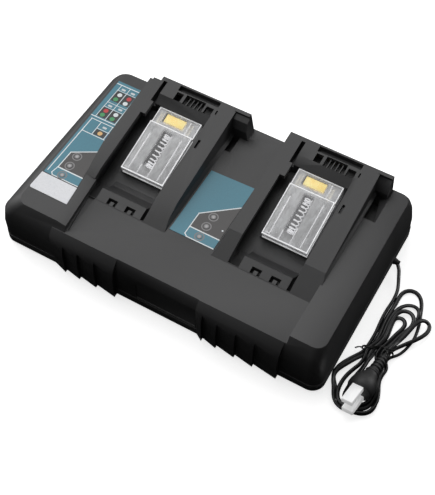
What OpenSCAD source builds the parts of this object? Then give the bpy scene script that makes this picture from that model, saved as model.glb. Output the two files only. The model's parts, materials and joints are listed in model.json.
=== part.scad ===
// Two-bay charger for slide-on power tool batteries, on rubber feet, with a tied mains cord.
// +X is the right side, -Y the front with the ribs, +Z up. The origin is under the middle of the case.

/* [Case] */
// distance of the right wall from the middle between the bays
case_right = 165; // [155:1:180]
// distance of the left wall, which flares out further, from the middle between the bays
case_left = 178; // [160:1:190]
// overall depth of the case, rib faces to rear wall
case_d = 214; // [190:1:230]
// height of the two flat outer panels
panel_z = 60.5; // [58:0.5:64]
// height of the sunk middle and front deck
deck_z = 54.3; // [52:0.1:57]
// height where the two shells meet
split_z = 13; // [11:0.5:16]
// underside of the lower shell above the table
floor_z = 2; // [1:0.5:4]
// wall thickness of both shells
wall = 2.6; // [2:0.1:3]
// right edge of the sunk deck
deck_right = 126; // [124:0.5:128]

/* [Battery bays] */
// distance of each bay's centre line from the middle between the bays
bay_x = 76.5; // [74:0.5:79]
// height of the rail tops, measured over the middle of the case
rail_z = 67; // [65:0.5:69]
// rise of the rail tops per millimetre towards the rear
rail_slope = 0.12; // [0.08:0.01:0.16]
// half the width across the rails at their tops
rail_half = 47.5; // [45:0.5:49]
// half the width across the rails at their foot
foot_half = 49.5; // [48:0.5:50]
// thickness of the lips that the battery hooks under
lip_t = 4.5; // [3:0.5:6]
// angle of the terminal block and its clear cover
cover_tilt = 12; // [8:0.5:14]
// height of the clear cover's top, measured over the middle of the case
cover_z = 57.5; // [56:0.5:59]
// half the width of the clear cover
cover_half = 23.3; // [20:0.1:24]
// travel of the clear cover up the slope
cover_travel = 18; // [10:1:20]
// wall thickness of the clear cover
cover_wall = 1.6; // [1.2:0.1:2]

/* [Cooling fans] */
// side of the square fan frame
fan_side = 50; // [40:5:60]
// place of the fan axis behind the middle of the case
fan_y = 60; // [50:1:64]
// radius of the fan's shaft
fan_shaft_r = 1.5; // [1:0.1:2]
// number of blades on each rotor
blade_count = 7; // [5:1:9]

/* [Mains cord] */
// diameter of the cord
cord_d = 4; // [3:0.1:7]
// place of the cord exit behind the middle of the case
cord_exit_y = 57.5; // [40:0.5:70]
// height of the cord exit
cord_exit_z = 7; // [6:0.1:10]
// distance between the centres of the two blades
blade_pitch = 12.7; // [12:0.1:13]
// roll of the plug as it lies on the coil
plug_roll = 13; // [0:1:60]

/* [Hidden] */
$fn = 48;
eps = 0.01;
half_w = case_right;
rear_y = 105.5;
rib_y = rear_y - case_d;
rib_t = 4.5;
front_y = rib_y + rib_t;
sides = [-1, 1];
// height, left wall at the front and at the rear, right wall, front, rear and corner radius of the upper shell
upper_rings = [
  [split_z, -case_left, -case_left, case_right - 0.6, front_y + 0.5, rear_y - 0.6, 13],
  [30, -case_left, -case_left + 2, case_right - 1, front_y + 0.5, rear_y - 1, 13],
  [45, -case_left + 2, -case_left + 4.5, case_right - 3, front_y + 2, rear_y - 2.5, 13],
  [52, -case_left + 6.5, -case_left + 9.5, case_right - 4.8, front_y + 5.7, rear_y - 5, 12],
  [58.5, -case_left + 14.6, -case_left + 15.4, case_right - 6.7, front_y + 10.4, rear_y - 9.5, 10.5],
  [panel_z, -case_left + 17.6, -case_left + 18, case_right - 7.5, front_y + 12, rear_y - 11, 10]
];
ring_t = 0.02;
low_z = 39.5;
bay_front = -51;
bay_rear = 97.5;
well_front = -50;
rail_bend_y = -22.5;
strip_y = -34;
strip_in = -110.2;
strip_turn = [-121.5, strip_y];
strip_start = [-126, 8.6];
strip_front_in = -103.4;
strip_foot = -101.6;
lip_back_y = -37.6;
lip_back_z = 57;
lip_half_l = -24;
lip_half_r = 24.5;
block_t = 12.5;
floor_drop = block_t / cos(cover_tilt);
mouth_y = 67;
tunnel_end = 91;
slot_open_l = -35;
slot_open_rear_l = -30;
slot_open_r = 28.2;
groove_l = -39.5;
groove_r = 34.5;
jog_y = 49;
board_z = 14.5;
board_t = 1.6;
board_top = board_z + board_t;
label_t = 0.4;
lens_r = 2.6;
spring_front = 5;
spring_rear = 44.5;
spring_r = 3.9;
spring_w = -5.6;
spring_u = -1;
blade_w = 6.3;
blade_t = 1.5;
screw_spots = [[-148, -84], [148, -84], [-148, 86], [148, 86], [0, -86], [0, 90]];
board_spots = [[-137, -78], [137, -78], [-138, 20], [138, 20], [14, -80], [24, 22]];
foot_spots = [[-130, -84], [124, -84], [-130, 86], [124, 86]];
foot_r = 8;
foot_recess = 1.2;
screw_r = 1.75;
boss_r = 5.2;
left_lens_spots = [[-140.3, -21], [-140.3, -33.7], [-140.3, -46.3]];
left_peg_y = [-53.5, -14.5];
centre_peg_y = [-45.6, -7.4];
centre_lens_spots = [[6, -13.5], [5.5, -25.8], [5.4, -38.8]];
// the free cord, from the case to the tied coil: the route as it lies on the table
cord_route = [
  [half_w + 3, cord_exit_y, cord_exit_z], [half_w + 6.2, 55, 6], [half_w + 9.1, 49.8, 4.4],
  [half_w + 11.6, 43.6, 3.1], [half_w + 13.6, 39, 2.4], [half_w + 16, 32, 2.1], [half_w + 17.6, 24, 2.1],
  [half_w + 18, 16, 2.1], [half_w + 17.2, 9, 2.1], [half_w + 16.8, 2, 2.1], [half_w + 16.9, -8, 2.1],
  [half_w + 17.3, -20, 2.1]
];
relief_x = half_w - 12;
hank_h = 11;
tie_y = -39;
plug_at = [half_w + 32.5, -67.5, 13.5];
plug_turn = -6.7;
plug_tip = 7.1;
plug_front = -21;
plug_back = 4.5;

// ---- helpers

function rail_at(y) = rail_z + rail_slope * y;
function cover_at(y) = cover_z + tan(cover_tilt) * y;

module rounded_rect(x0, x1, y0, y1, r) {
  translate([x0 + r, y0 + r]) circle(r);
  translate([x1 - r, y0 + r]) circle(r);
  translate([x0 + r, y1 - r]) circle(r);
  translate([x1 - r, y1 - r]) circle(r);
  translate([x0 + r, y0]) square([x1 - x0 - 2 * r, y1 - y0]);
  translate([x0, y0 + r]) square([x1 - x0, y1 - y0 - 2 * r]);
}

module ring_stack(rings, inset, lift_first, drop_last) {
  hull() {
    for (i = [0 : len(rings) - 1]) {
      k = rings[i];
      z = i == 0 ? k[0] + lift_first : (i == len(rings) - 1 ? k[0] - drop_last : k[0]);
      r = k[6] - inset;
      translate([0, 0, z - (i == 0 ? 0 : ring_t)])
        linear_extrude(ring_t)
          for (c = [[k[1] + k[6], k[4] + k[6]], [k[2] + k[6], k[5] - k[6]],
            [k[3] - k[6], k[4] + k[6]], [k[3] - k[6], k[5] - k[6]]]) translate(c) circle(r);
    }
  }
}

// measures are taken from the middle between the bays, which is off the middle of the case
module placed() {
  translate([(case_left - case_right) / 2, case_d / 2 - rear_y, 0]) children();
}

// an outline in Y and Z, drawn out along X from x0 to x1
module along_x(x0, x1, outline) {
  translate([x0, 0, 0])
    rotate([90, 0, 90])
      linear_extrude(x1 - x0) polygon(outline);
}

// an outline in X and Z, drawn out along Y from y0 to y1
module along_y(y0, y1, outline) {
  translate([0, y1, 0])
    rotate([90, 0, 0])
      linear_extrude(y1 - y0) polygon(outline);
}

// an outline in X and Y, drawn out upward from z0 to z1
module upward(z0, z1, outline) {
  translate([0, 0, z0]) linear_extrude(z1 - z0) polygon(outline);
}

module box(x0, x1, y0, y1, z0, z1) {
  translate([x0, y0, z0]) cube([x1 - x0, y1 - y0, z1 - z0]);
}

module post(x, y, z0, z1, r) {
  translate([x, y, z0]) cylinder(r = r, h = z1 - z0);
}

// the tilted frame of a bay's terminal block: X across, Y up the slope, Z off the block
module on_block(side) {
  translate([side * bay_x, 0, cover_z]) rotate([cover_tilt, 0, 0]) children();
}

// a smooth curve through a route's points
function spline(p, a, b, t) =
  let (p0 = p[max(a - 1, 0)], p1 = p[a], p2 = p[b], p3 = p[min(b + 1, len(p) - 1)])
  0.5 * (2 * p1 + (p2 - p0) * t + (2 * p0 - 5 * p1 + 4 * p2 - p3) * t * t
    + (3 * p1 - p0 - 3 * p2 + p3) * t * t * t);
function smooth(p, steps) = concat(
  [for (i = [0 : len(p) - 2], j = [0 : steps - 1]) spline(p, i, i + 1, j / steps)], [p[len(p) - 1]]);
function unit(v) = v / norm(v);
function heading(p, i) = unit(p[min(i + 1, len(p) - 1)] - p[max(i - 1, 0)]);

module tube(p, r, corners) {
  n = len(p);
  rings = [for (i = [0 : n - 1])
    let (d = heading(p, i), s = unit(cross(d, [0, 0, 1])), u = cross(s, d))
    for (k = [0 : corners - 1])
      let (a = 360 * (k + 0.5) / corners) p[i] + r * (cos(a) * s + sin(a) * u)];
  walls = [for (i = [0 : n - 2], k = [0 : corners - 1])
    [i * corners + k, i * corners + (k + 1) % corners,
     (i + 1) * corners + (k + 1) % corners, (i + 1) * corners + k]];
  first = [[for (k = [corners - 1 : -1 : 0]) k]];
  last = [[for (k = [0 : corners - 1]) (n - 1) * corners + k]];
  polyhedron(points = rings, faces = concat(walls, first, last), convexity = 10);
}

// ---- shells

// each rib ramps out from the left and ends in a sharp step on its right
module front_ribs(outline) {
  ramps = [[-118, -102, 0], [-102, -86, 2], [-86, -67.5, 2], [-67.5, -46.7, 2],
    [39, 47, 0], [47, 62, 1.5], [62, 81, 2], [81, 100, 2], [100, 124, 2]];
  for (r = ramps) {
    intersection() {
      along_x(r[0], r[1], outline);
      upward(0, panel_z, [[r[0], front_y + 20], [r[0], front_y + 0.5 - r[2]], [r[1], rib_y], [r[1], front_y + 20]]);
    }
  }
}

module sunk_deck_outline(grow) {
  polygon([[-126 - grow, 110], [strip_start[0] - grow, strip_start[1]], [strip_turn[0] - grow, strip_y - grow],
    [strip_in - grow, strip_y - grow],
    [strip_front_in - grow, -110], [deck_right + grow, -110], [deck_right + grow, 110]]);
}

// narrowing groove between the strip's wall and the deck
module strip_groove() {
  upward(deck_z - 1.8, deck_z + 1, [[strip_in, strip_y], [strip_front_in, -93],
    [strip_foot, -93], [strip_foot, strip_y]]);
}

module bay_hole(side) {
  box(side * bay_x - foot_half + 1, side * bay_x + foot_half - 1, well_front, 95, split_z, deck_z + eps);
}

module right_pocket() {
  upward(44, 70, [[deck_right, 51.5], [139, 51.5], [131.5, 82.2], [deck_right, 82.2]]);
}

module left_pocket() {
  upward(44, 70, [[-27, 61], [-18.5, 61], [-18.5, 82.2], [-27, 82.2]]);
}

module ear_seat() {
  along_y(51.5, 110, [[deck_right, deck_z], [131, deck_z], [140, panel_z + eps], [140, 70],
    [deck_right, 70]]);
}

module upper_shell() {
  color([0.19, 0.19, 0.2]) placed()
  difference() {
    union() {
      difference() {
        union() {
          ring_stack(upper_rings, 0, 0, 0);
          front_ribs([[front_y + 12, split_z], [rib_y, split_z], [rib_y, 30], [rib_y + 1.5, 41],
            [rib_y + 5, 48], [front_y + 7, deck_z], [front_y + 12, deck_z]]);
        }
        // the hollow inside, kept low under the sunk deck, the strip and the ear's seat
        difference() {
          ring_stack(upper_rings, wall, -1, wall);
          translate([0, 0, deck_z - wall]) linear_extrude(20) sunk_deck_outline(wall);
          box(120, 143, 48, 110, deck_z - wall, 70);
        }
        translate([0, 0, deck_z]) linear_extrude(20) sunk_deck_outline(0);
        ear_seat();
      }
      // wells of the two pockets
      intersection() {
        union() {
          box(125, 142, 49.5, 84.2, 42, deck_z);
          box(-28, -16.5, 59, 84.2, 42, deck_z);
        }
        ring_stack(upper_rings, 1, 0, 1);
      }
      // pegs that hold the light boards
      for (y = left_peg_y) post(-140.3, y, panel_z - 7.4, panel_z - 1, 2);
      for (y = centre_peg_y) post(5.6, y, deck_z - 7.4, deck_z - 1, 2);
      for (s = screw_spots) {
        post(s[0], s[1], split_z + 1, (abs(s[0]) > deck_right ? panel_z : deck_z) - 1, boss_r);
      }
    }
    strip_groove();
    for (s = sides) bay_hole(s);
    right_pocket();
    left_pocket();
    for (s = screw_spots) post(s[0], s[1], split_z, 34, screw_r + 0.1);
    for (p = left_lens_spots) post(p[0], p[1], 50, 70, lens_r + 0.1);
    for (p = centre_lens_spots) post(p[0], p[1], 50, 70, lens_r + 0.1);
    // shallow panel in the middle of the front wall
    box(-25, 38, rib_y - 1, front_y + 1.6, 15, 46);
    // the strip is a slightly sloping band
    translate([-120.4, -40, panel_z])
      rotate([0, 5, 6.5])
        box(0, 20, -70, 8, 0, 5);
  }
}

module lower_shell() {
  color([0.19, 0.19, 0.2]) placed()
  difference() {
    union() {
      difference() {
        union() {
          translate([0, 0, floor_z]) linear_extrude(2)
            rounded_rect(-case_left + 1.6, case_right - 1.6, front_y + 1.6, rear_y - 1.6, 11.4);
          translate([0, 0, floor_z + 2]) linear_extrude(split_z - floor_z - 2)
            rounded_rect(-case_left, case_right, front_y, rear_y, 13);
          front_ribs([[front_y + 1, floor_z + 2], [rib_y, floor_z + 2], [rib_y, split_z],
            [front_y + 1, split_z]]);
        }
        translate([0, 0, floor_z + wall]) linear_extrude(20)
          rounded_rect(-case_left + wall, case_right - wall, front_y + wall, rear_y - wall, 10.4);
      }
      for (s = screw_spots) post(s[0], s[1], floor_z + 1, split_z, boss_r);
      for (s = board_spots) post(s[0], s[1], floor_z + 1, board_z, 3.6);
    }
    for (s = foot_spots) post(s[0], s[1], 0, floor_z + foot_recess, foot_r);
    for (s = screw_spots) {
      post(s[0], s[1], 0, floor_z + 6, 3.9);
      post(s[0], s[1], 0, 20, screw_r + 0.25);
    }
    for (s = board_spots) post(s[0], s[1], floor_z + 4, 20, 1.35);
    // air slots under each fan
    for (s = sides, i = [-4 : 4]) {
      box(s * bay_x + 5 * i - 1.3, s * bay_x + 5 * i + 1.3, fan_y - 20, fan_y + 20, 0, floor_z + 4);
    }
    // cord outlet in the right wall
    translate([relief_x, cord_exit_y, cord_exit_z]) rotate([0, 90, 0]) cylinder(r = 3.9, h = 20);
  }
}

// ---- battery bays

module rail_outline() {
  polygon([[bay_front, deck_z], [rail_bend_y, rail_at(rail_bend_y)], [95.5, rail_at(95.5)],
    [bay_rear, deck_z]]);
}

function left_flank(high) = high
  ? [[-foot_half, deck_z], [-foot_half, panel_z], [-foot_half - 2, panel_z], [-foot_half + 0.2, 63.5],
    [-rail_half, rail_at(95.5)]]
  : [[-foot_half - 2.5, deck_z], [-foot_half + 0.1, deck_z + 4], [-rail_half, rail_at(95.5)]];

function mirrored(p) = [for (i = [len(p) - 1 : -1 : 0]) [-p[i][0], p[i][1]]];

module platform(side) {
  flanks = concat(left_flank(side < 0), mirrored(left_flank(side > 0)));
  intersection() {
    along_y(bay_front, bay_rear, flanks);
    translate([-60, 0, 0]) rotate([90, 0, 90]) linear_extrude(120) rail_outline();
  }
}

// the ear that the battery's hook rests against: a wall at the rear with a sloping block before it
module ear(side) {
  reach = side > 0 ? 60.5 : 62.5;
  intersection() {
    along_y(82.2, bay_rear, side > 0
      ? [[46, deck_z], [54.5, deck_z], [reach + 1, 59.2], [reach, rail_at(95.5)], [46, rail_at(95.5)]]
      : [[46, deck_z], [reach + 3.5, deck_z], [reach, rail_at(95.5)], [46, rail_at(95.5)]]);
    along_x(40, 70, [[82.2, 50], [82.2, 65], [86, 73.5], [91.5, 76], [91.5, rail_at(95.5)],
      [95.5, rail_at(95.5)], [bay_rear - 1, deck_z], [bay_rear - 1, 50]]);
  }
}

module slot_outline() {
  floor_front = cover_at(-6) - floor_drop;
  polygon([[-50, deck_z + 30], [-50, deck_z + 0.4], [-46, 49], [-36, 45], [-26, 43], [-16, 42.6],
    [-6, floor_front], [mouth_y, cover_at(mouth_y) - floor_drop], [mouth_y, 95]]);
}

module undercut_outline() {
  polygon([[-34, 47], [-26, 43], [-16, 42.6], [-6, cover_at(-6) - floor_drop],
    [mouth_y, cover_at(mouth_y) - floor_drop], [mouth_y, rail_at(mouth_y) - lip_t],
    [-20, rail_at(-20) - lip_t], [-34, 54]]);
}

module bay_channel() {
  // between the lips, with the left lip stepping in near the rear
  along_x(slot_open_l, slot_open_r, [[-50, 95], [-50, deck_z + 0.4], [-46, 49], [-36, 45], [-26, 43],
    [-16, 42.6], [-6, cover_at(-6) - floor_drop], [jog_y, cover_at(jog_y) - floor_drop], [jog_y, 95]]);
  intersection() {
    translate([slot_open_rear_l, 0, 0]) rotate([90, 0, 90])
      linear_extrude(slot_open_r - slot_open_rear_l) slot_outline();
    box(-60, 60, jog_y - 1, mouth_y, 0, 100);
  }
  // grooves under the lips
  translate([groove_l, 0, 0]) rotate([90, 0, 90])
    linear_extrude(groove_r - groove_l) undercut_outline();
}

module lip_bar() {
  intersection() {
    along_x(lip_half_l, lip_half_r, [[well_front, low_z + 4], [well_front, deck_z], [bay_front, deck_z],
      [lip_back_y, lip_back_z], [-34, 53.5], [-29, 48], [-23, 44.2], [-16, 42.6], [-16, low_z + 1]]);
    box(-60, 60, bay_front, -16, low_z, 60);
  }
}

// two notches in the lip, each with a small tongue left standing
module lip_notches() {
  for (u = [-8, 11.5]) {
    difference() {
      box(u - 4.9, u + 4.9, -49.8, -43.3, 50.5, 60);
      box(u - 1.7, u + 2.1, -49.9, -45.6, 50, 54.6);
    }
  }
}

module rear_vents() {
  box(-14.6, -7.2, 76, 85.5, 68, 90);
  difference() {
    box(-4.1, 17.4, 75.5, 86.6, 68, 90);
    for (i = [1 : 4]) box(-4.1 + i * 4.3 - 0.5, -4.1 + i * 4.3 + 0.5, 75, 87, 68, 75.4);
  }
  box(19.4, 27.4, 75.5, 84, 68, 90);
  // the trough behind the vents
  box(-15.5, 30, 87.4, 93.6, 73.2, 90);
}

module bay_cradle(side) {
  color([0.2, 0.2, 0.21]) placed()
  translate([side * bay_x, 0, 0])
  difference() {
    union() {
      difference() {
        union() {
          platform(side);
          ear(side);
          box(-foot_half + 1, foot_half - 1, well_front, 95, low_z, deck_z);
        }
        bay_channel();
      }
      lip_bar();
    }
    lip_notches();
    // tunnel that the cover slides into, and its block's seat
    intersection() {
      translate([0, 0, cover_z]) rotate([cover_tilt, 0, 0]) box(-25.6, 25.6, 40, tunnel_end, -block_t, -2.2);
      box(-30, 30, mouth_y - 1, 92, 40, 90);
    }
    rear_vents();
    // the top slopes down to the cover's rear end
    along_x(slot_open_rear_l, slot_open_r, [[mouth_y - 1, 70.4], [mouth_y, 70.4], [76, rail_at(76) + eps],
      [76, 90], [mouth_y - 1, 90]]);
    // the gap beside the left lip runs on to the rear
    box(-33.5, -29.5, mouth_y - 2, 91, 66, 90);
    // slots in the right rail
    box(31.6, 34.2, 37, 47, 60, 90);
    box(30.6, 32, 79, 84, 73, 90);
    // hollow underneath: below the floor, and up inside both rails
    along_x(-45.5, 45.5, [[-45, 0], [-45, 45], [-36, 42], [-28, 40.6], [-16, 40.2],
      [-6, cover_at(-6) - floor_drop - 2.4], [92, cover_at(92) - floor_drop - 2.4], [92, 0]]);
    along_x(37, 45, [[-40, 30], [-40, 51], [-20, 59.5], [92, rail_at(92) - 3.5], [92, 30]]);
    along_x(-45.5, -42, [[-30, 30], [-30, 51], [-20, 58], [92, rail_at(92) - 3.5], [92, 30]]);
    // slots that the power contacts pass down through
    translate([0, 0, cover_z]) rotate([cover_tilt, 0, 0])
      for (u = [-18, 14.5]) box(u - 2.2, u + 2.2, 50, 65, -block_t - 6, -block_t + 1);
    if (side < 0) {
      // the rail's rear end stops short of the rear wall
      box(-60, -36.5, 88, 100, 70, 90);
      // the rail's outer side draws in towards the strip
      upward(deck_z - eps, 70, [[-60, strip_start[1]], [strip_start[0] + bay_x, strip_start[1]],
        [strip_turn[0] + bay_x, strip_y], [strip_turn[0] + bay_x, -60], [-60, -60]]);
      upward(panel_z - eps, 70, [[-60, 30], [-51.6, 30], [strip_start[0] + bay_x, strip_start[1]], [-60, 0]]);
      // the strip of the shell takes the place of the left rail's tip
      box(-60, strip_in + bay_x, -60, strip_y, deck_z - eps, 70);
      upward(deck_z, 70, [[strip_in + bay_x - 1, strip_y], [strip_in + bay_x - 1, -60],
        [strip_foot + bay_x, -60], [strip_foot + bay_x, strip_y]]);
    }
  }
}

module left_bay_cradle() {
  bay_cradle(-1);
}

module right_bay_cradle() {
  bay_cradle(1);
}

// ---- terminal blocks, in the tilted frame

module terminal_holder(side) {
  color([0.26, 0.26, 0.27]) placed()
  on_block(side) {
    difference() {
      union() {
        box(-25.4, 25.4, -7.6, 72, -block_t, -10);
        // post that the spring pushes against
        box(-5.2, 3.2, 45, 47.5, -10, -2.4);
        // side guides outside the cover
        for (s = sides) box(s * 24.5 - 0.8, s * 24.5 + 0.8, -6, 66, -10, -7.5);
        // socket of the signal connector
        box(-15, 9.4, 54, 66, -10, -8.6);
      }
      box(-13.6, 8, 55.4, 65, -9.6, -8);
      for (u = [-18, 14.5]) box(u - 2.2, u + 2.2, 50, 65, -block_t - 1, -9);
    }
  }
}

module terminal_cover(side) {
  color([0.86, 0.87, 0.88, 0.5]) placed()
  on_block(side) {
    difference() {
      union() {
        box(-cover_half, cover_half, -7.6, 49.5, -9.7, 0);
        box(-cover_half, cover_half, -7.6, 68, -9.7, -3);
      }
      box(-cover_half + cover_wall, cover_half - cover_wall, -7.6 + cover_wall, 49.5 - cover_wall, -20, -cover_wall);
      box(-cover_half + cover_wall, cover_half - cover_wall, -7.6 + cover_wall, 68 - cover_wall, -20, -3 - cover_wall);
    }
    // stiffening ribs under the top
    for (u = [-17, 15]) box(u - 0.6, u + 0.6, 0.5, 45, -3.4, -cover_wall + 0.2);
    // seat of the spring
    box(-6.2, 4.2, -6.2, spring_front - 0.5, -9, -cover_wall + 0.2);
    for (u = [-6.2, 3.2]) box(u, u + 1, 0.5, 9, -9, -cover_wall + 0.2);
  }
}

module return_spring(side) {
  turns = 13;
  per_turn = 10;
  corners = 5;
  wire = 0.42;
  n = turns * per_turn;
  length = spring_rear - spring_front;
  coil = [for (i = [0 : n], k = [0 : corners - 1])
    let (a = 360 * i / per_turn, b = 360 * k / corners, q = spring_r - wire + wire * cos(b))
    [spring_u + q * cos(a), spring_front + length * i / n + wire * sin(b), spring_w + q * sin(a)]];
  walls = [for (i = [0 : n - 1], k = [0 : corners - 1])
    [i * corners + k, (i + 1) * corners + k, (i + 1) * corners + (k + 1) % corners,
     i * corners + (k + 1) % corners]];
  first = [[for (k = [0 : corners - 1]) k]];
  last = [[for (k = [corners - 1 : -1 : 0]) n * corners + k]];
  color([0.75, 0.75, 0.77]) placed()
  on_block(side) polyhedron(points = coil, faces = concat(walls, first, last), convexity = 10);
}

module signal_connector(side) {
  color([0.95, 0.85, 0.35]) placed()
  on_block(side) {
    difference() {
      box(-13.5, 7.9, 55.5, 64.9, -9.6, -5);
      for (i = [0 : 3]) box(-11.3 + 5 * i, -9.3 + 5 * i, 54, 61, -8.4, -6.4);
    }
  }
}

module power_contacts(side) {
  color([0.8, 0.72, 0.5]) placed()
  on_block(side) {
    for (u = [-18, 14.5]) {
      difference() {
        box(u - 1.9, u + 1.9, 50.5, 64.5, -block_t - 3, -5.2);
        box(u - 0.9, u + 0.9, 49, 66, -8.4, -5);
      }
    }
  }
}

module left_terminal_holder() {
  terminal_holder(-1);
}

module right_terminal_holder() {
  terminal_holder(1);
}

module left_terminal_cover() {
  terminal_cover(-1);
}

module right_terminal_cover() {
  terminal_cover(1);
}

module left_return_spring() {
  return_spring(-1);
}

module right_return_spring() {
  return_spring(1);
}

module left_signal_connector() {
  signal_connector(-1);
}

module right_signal_connector() {
  signal_connector(1);
}

module left_power_contacts() {
  power_contacts(-1);
}

module right_power_contacts() {
  power_contacts(1);
}

// ---- labels and lights

module left_label() {
  color([0.27, 0.55, 0.65]) placed()
  difference() {
    upward(panel_z, panel_z + label_t, [[-158.4, 81], [-128.6, 81], [-128.6, 26], [-126.7, 8],
      [-122.1, -34], [-119.9, -51], [-158.8, -51]]);
    for (p = left_lens_spots) post(p[0], p[1], 50, 70, lens_r + 0.1);
  }
}

module blank_sticker() {
  color([0.93, 0.93, 0.94]) placed()
  upward(panel_z, panel_z + label_t, [[-159.2, -52], [-119.6, -52], [-117.6, -72.5], [-158.4, -72.5],
    [-159.8, -71]]);
}

module centre_label() {
  color([0.27, 0.55, 0.65]) placed()
  difference() {
    upward(deck_z, deck_z + label_t, [[-22.8, 33], [23.5, 34.5], [23.5, -45], [-22.8, -45]]);
    for (p = centre_lens_spots) post(p[0], p[1], 50, 70, lens_r + 0.1);
  }
}

module left_status_lenses() {
  color([0.6, 0.6, 0.62]) placed()
  for (p = left_lens_spots) {
    post(p[0], p[1], panel_z - 6, panel_z + label_t + 0.3, lens_r);
    post(p[0], p[1], panel_z - 6, panel_z - wall - 0.5, lens_r + 1);
  }
}

module centre_status_lenses() {
  color([0.6, 0.6, 0.62]) placed()
  for (p = centre_lens_spots) {
    post(p[0], p[1], deck_z - 6, deck_z + label_t + 0.3, lens_r);
    post(p[0], p[1], deck_z - 6, deck_z - wall - 0.5, lens_r + 1);
  }
}

module light_board(x, y0, y1, z, spots) {
  box(x - 9, x + 9, y0, y1, z - 1.6, z);
  for (p = spots) post(p[0], p[1], z, z + 1.2, 1.6);
}

module left_light_board() {
  color([0.16, 0.4, 0.24]) placed()
  light_board(-140.3, -56, -12, panel_z - 7.4, left_lens_spots);
}

module centre_light_board() {
  color([0.16, 0.4, 0.24]) placed()
  light_board(5.6, -48, -5, deck_z - 7.4, centre_lens_spots);
}

// ---- fans

module fan_frame(side) {
  z0 = floor_z + wall;
  color([0.12, 0.12, 0.13]) placed()
  translate([side * bay_x, fan_y, z0]) {
    difference() {
      translate([-fan_side / 2, -fan_side / 2, 0]) cube([fan_side, fan_side, 12]);
      translate([0, 0, -1]) cylinder(r = 23.4, h = 20);
      for (a = [45 : 90 : 315]) rotate([0, 0, a]) translate([30, 0, -1]) cylinder(r = 1.6, h = 20);
    }
    // motor boss on four struts, and the shaft
    cylinder(r = 9, h = 1.6);
    for (a = [0 : 90 : 270]) rotate([0, 0, a]) translate([5, -1.2, 0]) cube([18.6, 2.4, 1.4]);
    cylinder(r = fan_shaft_r, h = 9);
  }
}

module fan_rotor(side) {
  color([0.1, 0.1, 0.11]) placed()
  translate([side * bay_x, fan_y, floor_z + wall]) {
    difference() {
      translate([0, 0, 2.2]) cylinder(r = 9.5, h = 9);
      translate([0, 0, 0]) cylinder(r = fan_shaft_r + 0.05, h = 9.4);
    }
    intersection() {
      for (i = [0 : blade_count - 1]) {
        rotate([0, 0, 360 * i / blade_count]) translate([9, 0, 6.6]) rotate([38, 0, 0])
          translate([0, -5.2, -0.6]) cube([14, 10.4, 1.2]);
      }
      translate([0, 0, 2.4]) cylinder(r = 22.4, h = 8.6);
    }
  }
}

module left_fan_frame() {
  fan_frame(-1);
}

module right_fan_frame() {
  fan_frame(1);
}

module left_fan_rotor() {
  fan_rotor(-1);
}

module right_fan_rotor() {
  fan_rotor(1);
}

// ---- electronics

module main_board() {
  color([0.16, 0.4, 0.24]) placed()
  difference() {
    box(-146, 146, -88, 28, board_z, board_top);
    for (s = board_spots) post(s[0], s[1], 10, 20, 1.6);
    for (s = screw_spots) post(s[0], s[1], 10, 20, boss_r + 1);
  }
}

module transformer() {
  color([0.3, 0.28, 0.2]) placed()
  box(-16, 20, -44, -12, board_top, board_top + 6);
  color([0.25, 0.24, 0.23]) placed()
  box(-20, 24, -38, -18, board_top + 6, board_top + 24);
  color([0.7, 0.6, 0.2]) placed()
  translate([2, -28, board_top + 6]) cylinder(r = 15, h = 18);
}

module filter_capacitor() {
  color([0.15, 0.15, 0.3]) placed()
  difference() {
    post(2, 8, board_top, board_top + 30, 12.5);
    translate([2, 8, board_top + 30]) rotate_extrude() translate([12.5, 0]) square([2, 2], center = true);
  }
}

module output_capacitors() {
  color([0.15, 0.15, 0.2]) placed()
  for (s = sides, i = [0 : 2]) post(s * 62 + s * 15 * i, 14, board_top, board_top + 20, 6.3);
}

module line_choke() {
  color([0.45, 0.3, 0.15]) placed()
  translate([112, -6, board_top + 9]) {
    difference() {
      rotate([0, 90, 0]) cylinder(r = 9, h = 9);
      translate([-1, 0, 0]) rotate([0, 90, 0]) cylinder(r = 4, h = 12);
    }
  }
}

module fuse() {
  color([0.85, 0.85, 0.8]) placed()
  translate([120, 14, board_top + 2.6]) rotate([0, 90, 0]) cylinder(r = 2.5, h = 20);
  color([0.8, 0.8, 0.82]) placed()
  for (x = [119, 136]) translate([x, 14, board_top + 2.8]) rotate([0, 90, 0]) cylinder(r = 2.8, h = 5);
}

module heat_sink(side) {
  color([0.75, 0.76, 0.78]) placed()
  translate([side * 52, -20, board_top]) {
    translate([-1.5, -26, 0]) cube([3, 52, 20]);
    for (i = [0 : 5]) translate([side > 0 ? 1.4 : -9.4, -26 + i * 10, 0]) cube([8, 2, 20]);
  }
}

module left_heat_sink() {
  heat_sink(-1);
}

module right_heat_sink() {
  heat_sink(1);
}

module relays() {
  color([0.2, 0.35, 0.6]) placed()
  for (x = [-118, -96]) box(x, x + 16, -70, -50, board_top, board_top + 15);
}

module buzzer() {
  color([0.1, 0.1, 0.1]) placed()
  difference() {
    post(-104, -24, board_top, board_top + 9.5, 6);
    post(-104, -24, board_top + 6, board_top + 12, 1.2);
  }
}

module board_screws() {
  color([0.7, 0.7, 0.72]) placed()
  for (s = board_spots) {
    post(s[0], s[1], floor_z + 5, board_top + 0.5, 1.3);
    post(s[0], s[1], board_top, board_top + 1.8, 2.9);
  }
}

module case_screws() {
  color([0.7, 0.7, 0.72]) placed()
  for (s = screw_spots) {
    post(s[0], s[1], floor_z + 3.6, floor_z + 6, 3.6);
    post(s[0], s[1], floor_z + 5, 30, screw_r);
  }
}

module rubber_feet() {
  color([0.08, 0.08, 0.08]) placed()
  for (s = foot_spots) post(s[0], s[1], 0, floor_z + foot_recess, foot_r - 0.05);
}

// ---- cord

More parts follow.
